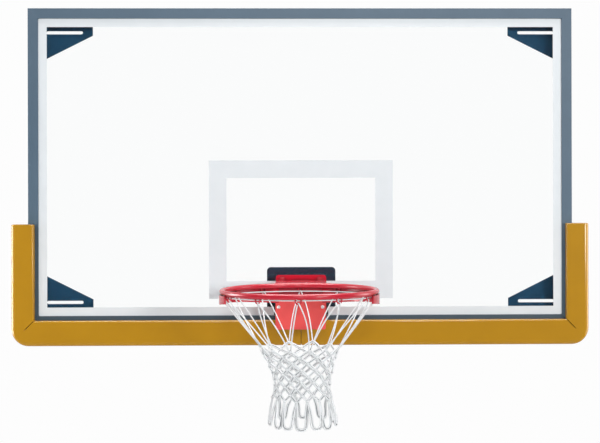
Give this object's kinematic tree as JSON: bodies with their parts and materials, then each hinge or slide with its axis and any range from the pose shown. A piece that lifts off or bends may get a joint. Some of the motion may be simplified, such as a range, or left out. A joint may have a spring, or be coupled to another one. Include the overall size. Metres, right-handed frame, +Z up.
{
  "type": "basketball backboard",
  "caption": "Rectangular glass basketball backboard in a metal frame, with white markings, edge padding, slotted corner plates and a sprung breakaway rim with a hanging net.",
  "frame": {"origin": "centre of the slotted mounting pattern on the rear mounting plane", "axes": "+X to the right seen from the court, +Y to the rear, +Z up, the court is at -Y"},
  "size_m": [1.9348, 0.674, 1.3402],
  "materials": {
    "slate_frame": "satin",
    "navy_plate": "satin",
    "clear_glass": "polished",
    "white_marking": "matte",
    "glazing_rubber": "matte",
    "black_rubber": "matte",
    "red_steel": "gloss",
    "zinc_steel": "brushed",
    "spring_steel": "oiled",
    "bronze": "machined",
    "net_cord": "twisted",
    "gold_pad": "satin"
  },
  "bodies": {
    "backboard": {"top_rail": "slate_frame", "bottom_rail": "slate_frame", "left_rail": "slate_frame", "right_rail": "slate_frame", "corner_plate_top_left": "navy_plate", "corner_plate_top_right": "navy_plate", "corner_plate_bottom_left": "navy_plate", "corner_plate_bottom_right": "navy_plate", "goal_mount_plate": "navy_plate", "glass_panel": "clear_glass", "border_marking": "white_marking", "target_marking": "white_marking", "glazing_gasket": "glazing_rubber", "rim_backing_pad": "black_rubber", "glass_grommets": "black_rubber", "stop_bumper": "black_rubber", "rim_back_plate": "red_steel", "hinge_lug_left": "red_steel", "hinge_lug_right": "red_steel", "rear_spring_seats": "red_steel", "goal_bolts": "red_steel", "corner_plate_bolts": "zinc_steel", "corner_plate_nuts": "zinc_steel", "goal_mount_bolts": "zinc_steel", "goal_mount_nuts": "zinc_steel", "goal_washers": "zinc_steel", "goal_lock_nuts": "zinc_steel", "spacer_sleeves": "zinc_steel", "hinge_pin": "zinc_steel", "hinge_pin_clips": "zinc_steel", "pad_screws": "zinc_steel", "release_spring_left": "spring_steel", "release_spring_right": "spring_steel", "edge_pad_left": "gold_pad", "edge_pad_right": "gold_pad"},
    "ring_assembly": {"ring": "red_steel", "ring_brace_left": "red_steel", "ring_brace_right": "red_steel", "top_plate": "red_steel", "face_plate": "red_steel", "side_web_left": "red_steel", "side_web_right": "red_steel", "hinge_bushings": "bronze", "front_spring_cups": "red_steel", "net_hooks": "red_steel", "net": "net_cord"}
  },
  "joints": [
    {"name": "rim_breakaway", "type": "hinge", "parent": "backboard", "child": "ring_assembly", "pos_m": [0, -0.1115, -0.4074], "axis": [1, 0, 0], "range_deg": [0, 25], "stiffness_Nm_per_rad": 600, "springref_deg": -54.43, "deforming": ["release_spring_left", "release_spring_right"]}
  ]
}
